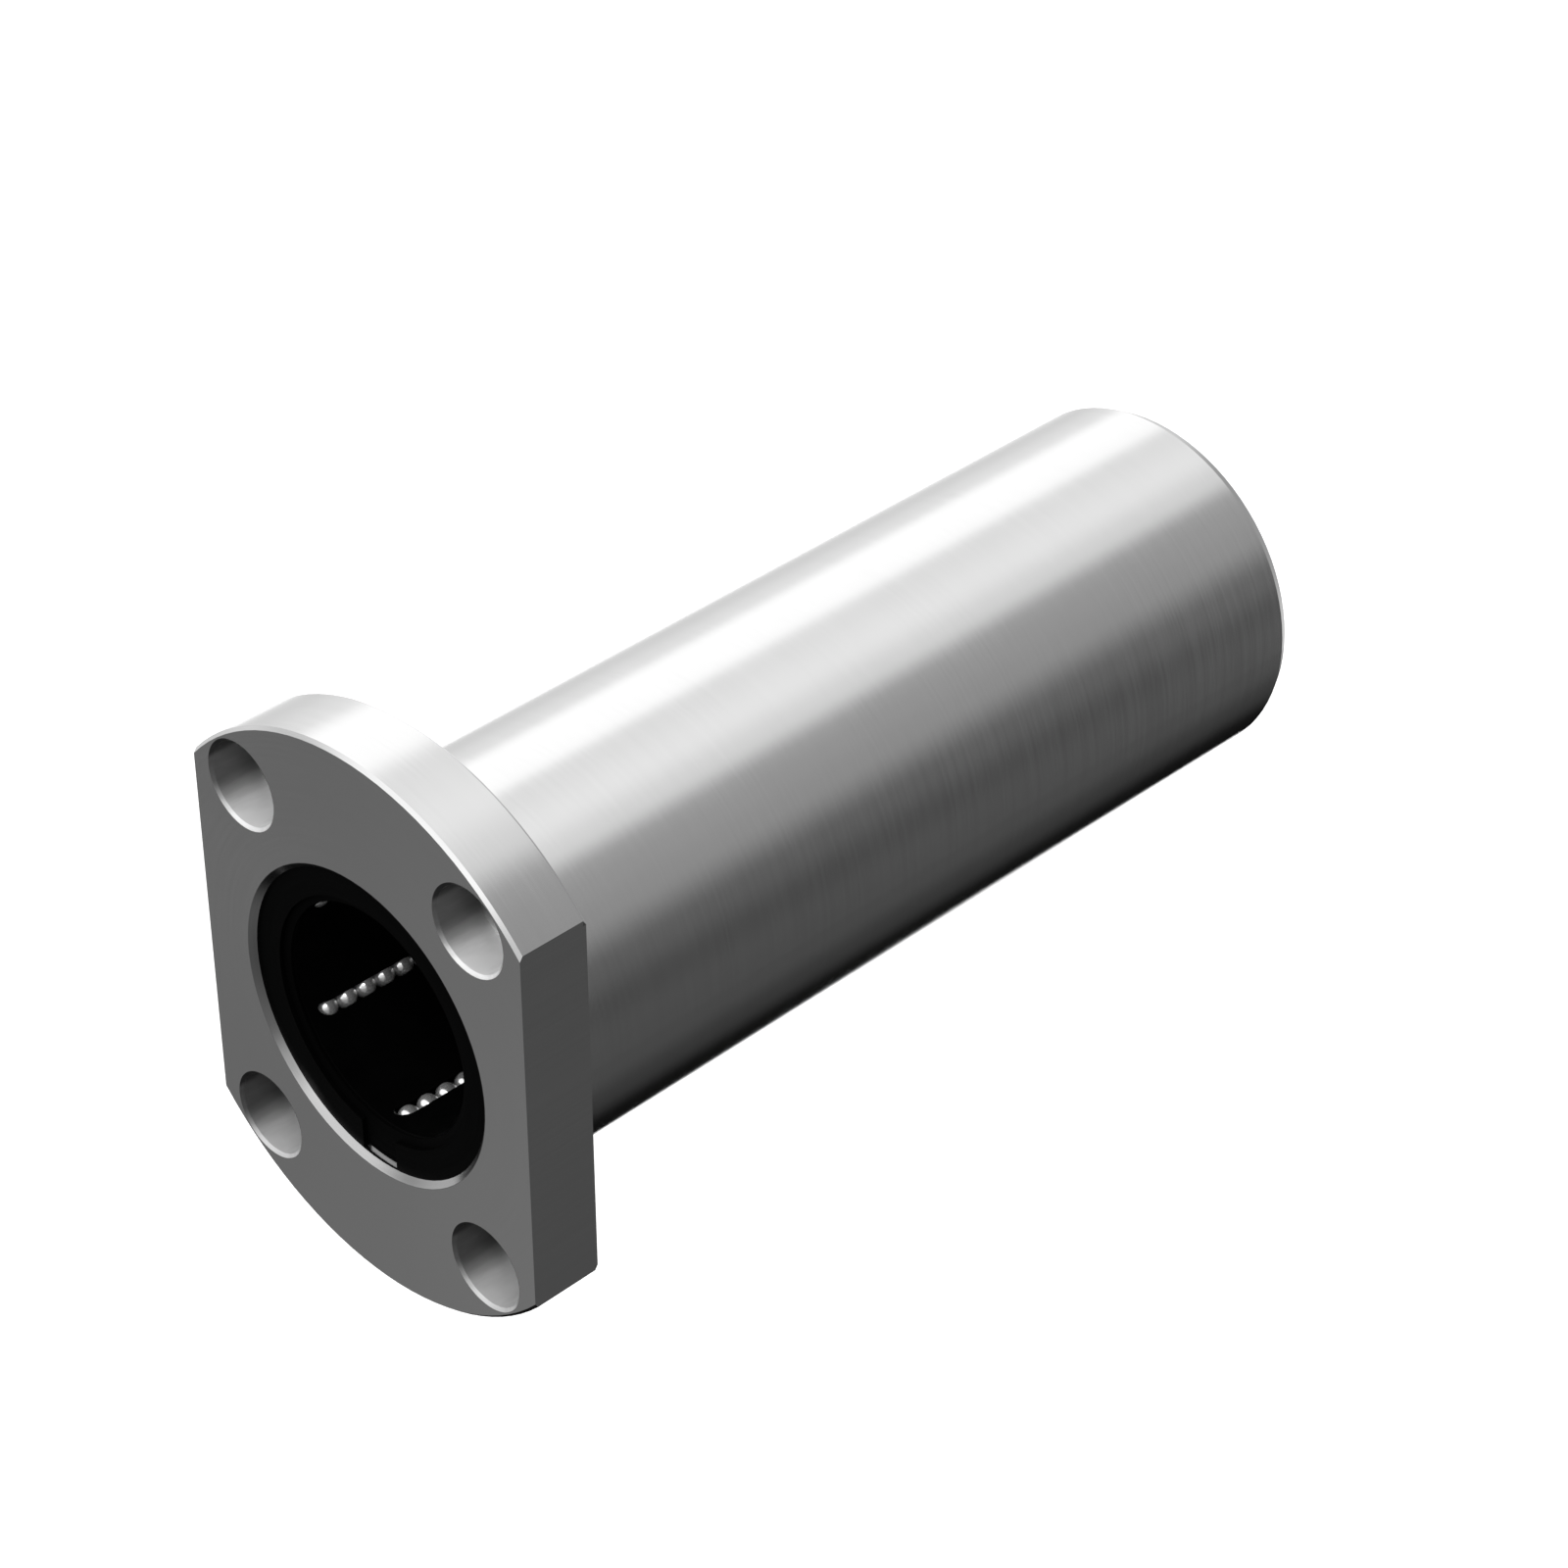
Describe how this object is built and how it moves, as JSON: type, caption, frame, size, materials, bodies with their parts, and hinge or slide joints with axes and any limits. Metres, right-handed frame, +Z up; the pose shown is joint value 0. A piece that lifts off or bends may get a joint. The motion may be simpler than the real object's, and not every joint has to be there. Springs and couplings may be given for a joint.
{
  "type": "flanged linear bearing",
  "caption": "Long linear ball bearing for a round shaft, with a two-side-cut mounting flange at one end and recirculating balls in resin retainers.",
  "frame": {"origin": "centre of the bore in the flange's mounting face, the face that the body stands out of", "axes": "+Y along the shaft axis from the flange into the body, +Z up, the flange's flats facing +X and -X"},
  "size_m": [0.046, 0.112, 0.062],
  "materials": {
    "nut_steel": "ground satin",
    "retainer_resin": "moulded",
    "ball_steel": "polished",
    "seal_rubber": "satin",
    "ring_steel": "black oxide"
  },
  "bodies": {
    "bearing": {"nut": "nut_steel", "front_retainer": "retainer_resin", "rear_retainer": "retainer_resin", "front_seal": "seal_rubber", "rear_seal": "seal_rubber", "front_snap_ring": "ring_steel", "rear_snap_ring": "ring_steel"},
    "front_1_load_row": {"front_1_load_row": "ball_steel"},
    "front_1_return_row": {"front_1_return_row": "ball_steel"},
    "front_1_outer_turn": {"front_1_outer_turn": "ball_steel"},
    "front_1_inner_turn": {"front_1_inner_turn": "ball_steel"},
    "front_2_load_row": {"front_2_load_row": "ball_steel"},
    "front_2_return_row": {"front_2_return_row": "ball_steel"},
    "front_2_outer_turn": {"front_2_outer_turn": "ball_steel"},
    "front_2_inner_turn": {"front_2_inner_turn": "ball_steel"},
    "front_3_load_row": {"front_3_load_row": "ball_steel"},
    "front_3_return_row": {"front_3_return_row": "ball_steel"},
    "front_3_outer_turn": {"front_3_outer_turn": "ball_steel"},
    "front_3_inner_turn": {"front_3_inner_turn": "ball_steel"},
    "front_4_load_row": {"front_4_load_row": "ball_steel"},
    "front_4_return_row": {"front_4_return_row": "ball_steel"},
    "front_4_outer_turn": {"front_4_outer_turn": "ball_steel"},
    "front_4_inner_turn": {"front_4_inner_turn": "ball_steel"},
    "front_5_load_row": {"front_5_load_row": "ball_steel"},
    "front_5_return_row": {"front_5_return_row": "ball_steel"},
    "front_5_outer_turn": {"front_5_outer_turn": "ball_steel"},
    "front_5_inner_turn": {"front_5_inner_turn": "ball_steel"},
    "front_6_load_row": {"front_6_load_row": "ball_steel"},
    "front_6_return_row": {"front_6_return_row": "ball_steel"},
    "front_6_outer_turn": {"front_6_outer_turn": "ball_steel"},
    "front_6_inner_turn": {"front_6_inner_turn": "ball_steel"},
    "rear_1_load_row": {"rear_1_load_row": "ball_steel"},
    "rear_1_return_row": {"rear_1_return_row": "ball_steel"},
    "rear_1_outer_turn": {"rear_1_outer_turn": "ball_steel"},
    "rear_1_inner_turn": {"rear_1_inner_turn": "ball_steel"},
    "rear_2_load_row": {"rear_2_load_row": "ball_steel"},
    "rear_2_return_row": {"rear_2_return_row": "ball_steel"},
    "rear_2_outer_turn": {"rear_2_outer_turn": "ball_steel"},
    "rear_2_inner_turn": {"rear_2_inner_turn": "ball_steel"},
    "rear_3_load_row": {"rear_3_load_row": "ball_steel"},
    "rear_3_return_row": {"rear_3_return_row": "ball_steel"},
    "rear_3_outer_turn": {"rear_3_outer_turn": "ball_steel"},
    "rear_3_inner_turn": {"rear_3_inner_turn": "ball_steel"},
    "rear_4_load_row": {"rear_4_load_row": "ball_steel"},
    "rear_4_return_row": {"rear_4_return_row": "ball_steel"},
    "rear_4_outer_turn": {"rear_4_outer_turn": "ball_steel"},
    "rear_4_inner_turn": {"rear_4_inner_turn": "ball_steel"},
    "rear_5_load_row": {"rear_5_load_row": "ball_steel"},
    "rear_5_return_row": {"rear_5_return_row": "ball_steel"},
    "rear_5_outer_turn": {"rear_5_outer_turn": "ball_steel"},
    "rear_5_inner_turn": {"rear_5_inner_turn": "ball_steel"},
    "rear_6_load_row": {"rear_6_load_row": "ball_steel"},
    "rear_6_return_row": {"rear_6_return_row": "ball_steel"},
    "rear_6_outer_turn": {"rear_6_outer_turn": "ball_steel"},
    "rear_6_inner_turn": {"rear_6_inner_turn": "ball_steel"}
  },
  "joints": [
    {"name": "front_1_load_roll", "type": "slide", "parent": "bearing", "child": "front_1_load_row", "axis": [0, 1, 0], "range_m": [-0.00217, 0.00024]},
    {"name": "front_1_return_roll", "type": "slide", "parent": "bearing", "child": "front_1_return_row", "axis": [0, 1, 0], "range_m": [-0.00024, 0.00217]},
    {"name": "front_1_outer_turn_roll", "type": "hinge", "parent": "bearing", "child": "front_1_outer_turn", "pos_m": [0.01309, -0.00295, 0.00566], "axis": [0.693, 0, 0.721], "range_deg": [-9.01, 81.01]},
    {"name": "front_1_inner_turn_roll", "type": "hinge", "parent": "bearing", "child": "front_1_inner_turn", "pos_m": [0.01309, 0.04285, 0.00566], "axis": [0.693, 0, 0.721], "range_deg": [-9.01, 81.01]},
    {"name": "front_2_load_roll", "type": "slide", "parent": "bearing", "child": "front_2_load_row", "axis": [0, 1, 0], "range_m": [-0.00217, 0.00024]},
    {"name": "front_2_return_roll", "type": "slide", "parent": "bearing", "child": "front_2_return_row", "axis": [0, 1, 0], "range_m": [-0.00024, 0.00217]},
    {"name": "front_2_outer_turn_roll", "type": "hinge", "parent": "bearing", "child": "front_2_outer_turn", "pos_m": [0.00164, -0.00295, 0.01416], "axis": [-0.2779, 0, 0.9606], "range_deg": [-9.01, 81.01]},
    {"name": "front_2_inner_turn_roll", "type": "hinge", "parent": "bearing", "child": "front_2_inner_turn", "pos_m": [0.00164, 0.04285, 0.01416], "axis": [-0.2779, 0, 0.9606], "range_deg": [-9.01, 81.01]},
    {"name": "front_3_load_roll", "type": "slide", "parent": "bearing", "child": "front_3_load_row", "axis": [0, 1, 0], "range_m": [-0.00217, 0.00024]},
    {"name": "front_3_return_roll", "type": "slide", "parent": "bearing", "child": "front_3_return_row", "axis": [0, 1, 0], "range_m": [-0.00024, 0.00217]},
    {"name": "front_3_outer_turn_roll", "type": "hinge", "parent": "bearing", "child": "front_3_outer_turn", "pos_m": [-0.01145, -0.00295, 0.0085], "axis": [-0.9709, 0, 0.2396], "range_deg": [-9.01, 81.01]},
    {"name": "front_3_inner_turn_roll", "type": "hinge", "parent": "bearing", "child": "front_3_inner_turn", "pos_m": [-0.01145, 0.04285, 0.0085], "axis": [-0.9709, 0, 0.2396], "range_deg": [-9.01, 81.01]},
    {"name": "front_4_load_roll", "type": "slide", "parent": "bearing", "child": "front_4_load_row", "axis": [0, 1, 0], "range_m": [-0.00217, 0.00024]},
    {"name": "front_4_return_roll", "type": "slide", "parent": "bearing", "child": "front_4_return_row", "axis": [0, 1, 0], "range_m": [-0.00024, 0.00217]},
    {"name": "front_4_outer_turn_roll", "type": "hinge", "parent": "bearing", "child": "front_4_outer_turn", "pos_m": [-0.01309, -0.00295, -0.00566], "axis": [-0.693, 0, -0.721], "range_deg": [-9.01, 81.01]},
    {"name": "front_4_inner_turn_roll", "type": "hinge", "parent": "bearing", "child": "front_4_inner_turn", "pos_m": [-0.01309, 0.04285, -0.00566], "axis": [-0.693, 0, -0.721], "range_deg": [-9.01, 81.01]},
    {"name": "front_5_load_roll", "type": "slide", "parent": "bearing", "child": "front_5_load_row", "axis": [0, 1, 0], "range_m": [-0.00217, 0.00024]},
    {"name": "front_5_return_roll", "type": "slide", "parent": "bearing", "child": "front_5_return_row", "axis": [0, 1, 0], "range_m": [-0.00024, 0.00217]},
    {"name": "front_5_outer_turn_roll", "type": "hinge", "parent": "bearing", "child": "front_5_outer_turn", "pos_m": [-0.00164, -0.00295, -0.01416], "axis": [0.2779, 0, -0.9606], "range_deg": [-9.01, 81.01]},
    {"name": "front_5_inner_turn_roll", "type": "hinge", "parent": "bearing", "child": "front_5_inner_turn", "pos_m": [-0.00164, 0.04285, -0.01416], "axis": [0.2779, 0, -0.9606], "range_deg": [-9.01, 81.01]},
    {"name": "front_6_load_roll", "type": "slide", "parent": "bearing", "child": "front_6_load_row", "axis": [0, 1, 0], "range_m": [-0.00217, 0.00024]},
    {"name": "front_6_return_roll", "type": "slide", "parent": "bearing", "child": "front_6_return_row", "axis": [0, 1, 0], "range_m": [-0.00024, 0.00217]},
    {"name": "front_6_outer_turn_roll", "type": "hinge", "parent": "bearing", "child": "front_6_outer_turn", "pos_m": [0.01145, -0.00295, -0.0085], "axis": [0.9709, 0, -0.2396], "range_deg": [-9.01, 81.01]},
    {"name": "front_6_inner_turn_roll", "type": "hinge", "parent": "bearing", "child": "front_6_inner_turn", "pos_m": [0.01145, 0.04285, -0.0085], "axis": [0.9709, 0, -0.2396], "range_deg": [-9.01, 81.01]},
    {"name": "rear_1_load_roll", "type": "slide", "parent": "bearing", "child": "rear_1_load_row", "axis": [0, 1, 0], "range_m": [-0.00024, 0.00217]},
    {"name": "rear_1_return_roll", "type": "slide", "parent": "bearing", "child": "rear_1_return_row", "axis": [0, 1, 0], "range_m": [-0.00217, 0.00024]},
    {"name": "rear_1_outer_turn_roll", "type": "hinge", "parent": "bearing", "child": "rear_1_outer_turn", "pos_m": [0.01309, 0.09895, 0.00566], "axis": [0.693, 0, 0.721], "range_deg": [-81.01, 9.01]},
    {"name": "rear_1_inner_turn_roll", "type": "hinge", "parent": "bearing", "child": "rear_1_inner_turn", "pos_m": [0.01309, 0.05315, 0.00566], "axis": [0.693, 0, 0.721], "range_deg": [-81.01, 9.01]},
    {"name": "rear_2_load_roll", "type": "slide", "parent": "bearing", "child": "rear_2_load_row", "axis": [0, 1, 0], "range_m": [-0.00024, 0.00217]},
    {"name": "rear_2_return_roll", "type": "slide", "parent": "bearing", "child": "rear_2_return_row", "axis": [0, 1, 0], "range_m": [-0.00217, 0.00024]},
    {"name": "rear_2_outer_turn_roll", "type": "hinge", "parent": "bearing", "child": "rear_2_outer_turn", "pos_m": [0.00164, 0.09895, 0.01416], "axis": [-0.2779, 0, 0.9606], "range_deg": [-81.01, 9.01]},
    {"name": "rear_2_inner_turn_roll", "type": "hinge", "parent": "bearing", "child": "rear_2_inner_turn", "pos_m": [0.00164, 0.05315, 0.01416], "axis": [-0.2779, 0, 0.9606], "range_deg": [-81.01, 9.01]},
    {"name": "rear_3_load_roll", "type": "slide", "parent": "bearing", "child": "rear_3_load_row", "axis": [0, 1, 0], "range_m": [-0.00024, 0.00217]},
    {"name": "rear_3_return_roll", "type": "slide", "parent": "bearing", "child": "rear_3_return_row", "axis": [0, 1, 0], "range_m": [-0.00217, 0.00024]},
    {"name": "rear_3_outer_turn_roll", "type": "hinge", "parent": "bearing", "child": "rear_3_outer_turn", "pos_m": [-0.01145, 0.09895, 0.0085], "axis": [-0.9709, 0, 0.2396], "range_deg": [-81.01, 9.01]},
    {"name": "rear_3_inner_turn_roll", "type": "hinge", "parent": "bearing", "child": "rear_3_inner_turn", "pos_m": [-0.01145, 0.05315, 0.0085], "axis": [-0.9709, 0, 0.2396], "range_deg": [-81.01, 9.01]},
    {"name": "rear_4_load_roll", "type": "slide", "parent": "bearing", "child": "rear_4_load_row", "axis": [0, 1, 0], "range_m": [-0.00024, 0.00217]},
    {"name": "rear_4_return_roll", "type": "slide", "parent": "bearing", "child": "rear_4_return_row", "axis": [0, 1, 0], "range_m": [-0.00217, 0.00024]},
    {"name": "rear_4_outer_turn_roll", "type": "hinge", "parent": "bearing", "child": "rear_4_outer_turn", "pos_m": [-0.01309, 0.09895, -0.00566], "axis": [-0.693, 0, -0.721], "range_deg": [-81.01, 9.01]},
    {"name": "rear_4_inner_turn_roll", "type": "hinge", "parent": "bearing", "child": "rear_4_inner_turn", "pos_m": [-0.01309, 0.05315, -0.00566], "axis": [-0.693, 0, -0.721], "range_deg": [-81.01, 9.01]},
    {"name": "rear_5_load_roll", "type": "slide", "parent": "bearing", "child": "rear_5_load_row", "axis": [0, 1, 0], "range_m": [-0.00024, 0.00217]},
    {"name": "rear_5_return_roll", "type": "slide", "parent": "bearing", "child": "rear_5_return_row", "axis": [0, 1, 0], "range_m": [-0.00217, 0.00024]},
    {"name": "rear_5_outer_turn_roll", "type": "hinge", "parent": "bearing", "child": "rear_5_outer_turn", "pos_m": [-0.00164, 0.09895, -0.01416], "axis": [0.2779, 0, -0.9606], "range_deg": [-81.01, 9.01]},
    {"name": "rear_5_inner_turn_roll", "type": "hinge", "parent": "bearing", "child": "rear_5_inner_turn", "pos_m": [-0.00164, 0.05315, -0.01416], "axis": [0.2779, 0, -0.9606], "range_deg": [-81.01, 9.01]},
    {"name": "rear_6_load_roll", "type": "slide", "parent": "bearing", "child": "rear_6_load_row", "axis": [0, 1, 0], "range_m": [-0.00024, 0.00217]},
    {"name": "rear_6_return_roll", "type": "slide", "parent": "bearing", "child": "rear_6_return_row", "axis": [0, 1, 0], "range_m": [-0.00217, 0.00024]},
    {"name": "rear_6_outer_turn_roll", "type": "hinge", "parent": "bearing", "child": "rear_6_outer_turn", "pos_m": [0.01145, 0.09895, -0.0085], "axis": [0.9709, 0, -0.2396], "range_deg": [-81.01, 9.01]},
    {"name": "rear_6_inner_turn_roll", "type": "hinge", "parent": "bearing", "child": "rear_6_inner_turn", "pos_m": [0.01145, 0.05315, -0.0085], "axis": [0.9709, 0, -0.2396], "range_deg": [-81.01, 9.01]}
  ],
  "couplings": [
    {"joint": "front_1_return_roll", "follows": "front_1_load_roll", "ratio": -1},
    {"joint": "front_1_outer_turn_roll", "follows": "front_1_load_roll", "rad_per_m": -651.51},
    {"joint": "front_1_inner_turn_roll", "follows": "front_1_load_roll", "rad_per_m": -651.51},
    {"joint": "front_2_return_roll", "follows": "front_2_load_roll", "ratio": -1},
    {"joint": "front_2_outer_turn_roll", "follows": "front_2_load_roll", "rad_per_m": -651.51},
    {"joint": "front_2_inner_turn_roll", "follows": "front_2_load_roll", "rad_per_m": -651.51},
    {"joint": "front_3_return_roll", "follows": "front_3_load_roll", "ratio": -1},
    {"joint": "front_3_outer_turn_roll", "follows": "front_3_load_roll", "rad_per_m": -651.51},
    {"joint": "front_3_inner_turn_roll", "follows": "front_3_load_roll", "rad_per_m": -651.51},
    {"joint": "front_4_return_roll", "follows": "front_4_load_roll", "ratio": -1},
    {"joint": "front_4_outer_turn_roll", "follows": "front_4_load_roll", "rad_per_m": -651.51},
    {"joint": "front_4_inner_turn_roll", "follows": "front_4_load_roll", "rad_per_m": -651.51},
    {"joint": "front_5_return_roll", "follows": "front_5_load_roll", "ratio": -1},
    {"joint": "front_5_outer_turn_roll", "follows": "front_5_load_roll", "rad_per_m": -651.51},
    {"joint": "front_5_inner_turn_roll", "follows": "front_5_load_roll", "rad_per_m": -651.51},
    {"joint": "front_6_return_roll", "follows": "front_6_load_roll", "ratio": -1},
    {"joint": "front_6_outer_turn_roll", "follows": "front_6_load_roll", "rad_per_m": -651.51},
    {"joint": "front_6_inner_turn_roll", "follows": "front_6_load_roll", "rad_per_m": -651.51},
    {"joint": "rear_1_return_roll", "follows": "rear_1_load_roll", "ratio": -1},
    {"joint": "rear_1_outer_turn_roll", "follows": "rear_1_load_roll", "rad_per_m": -651.51},
    {"joint": "rear_1_inner_turn_roll", "follows": "rear_1_load_roll", "rad_per_m": -651.51},
    {"joint": "rear_2_return_roll", "follows": "rear_2_load_roll", "ratio": -1},
    {"joint": "rear_2_outer_turn_roll", "follows": "rear_2_load_roll", "rad_per_m": -651.51},
    {"joint": "rear_2_inner_turn_roll", "follows": "rear_2_load_roll", "rad_per_m": -651.51},
    {"joint": "rear_3_return_roll", "follows": "rear_3_load_roll", "ratio": -1},
    {"joint": "rear_3_outer_turn_roll", "follows": "rear_3_load_roll", "rad_per_m": -651.51},
    {"joint": "rear_3_inner_turn_roll", "follows": "rear_3_load_roll", "rad_per_m": -651.51},
    {"joint": "rear_4_return_roll", "follows": "rear_4_load_roll", "ratio": -1},
    {"joint": "rear_4_outer_turn_roll", "follows": "rear_4_load_roll", "rad_per_m": -651.51},
    {"joint": "rear_4_inner_turn_roll", "follows": "rear_4_load_roll", "rad_per_m": -651.51},
    {"joint": "rear_5_return_roll", "follows": "rear_5_load_roll", "ratio": -1},
    {"joint": "rear_5_outer_turn_roll", "follows": "rear_5_load_roll", "rad_per_m": -651.51},
    {"joint": "rear_5_inner_turn_roll", "follows": "rear_5_load_roll", "rad_per_m": -651.51},
    {"joint": "rear_6_return_roll", "follows": "rear_6_load_roll", "ratio": -1},
    {"joint": "rear_6_outer_turn_roll", "follows": "rear_6_load_roll", "rad_per_m": -651.51},
    {"joint": "rear_6_inner_turn_roll", "follows": "rear_6_load_roll", "rad_per_m": -651.51}
  ]
}
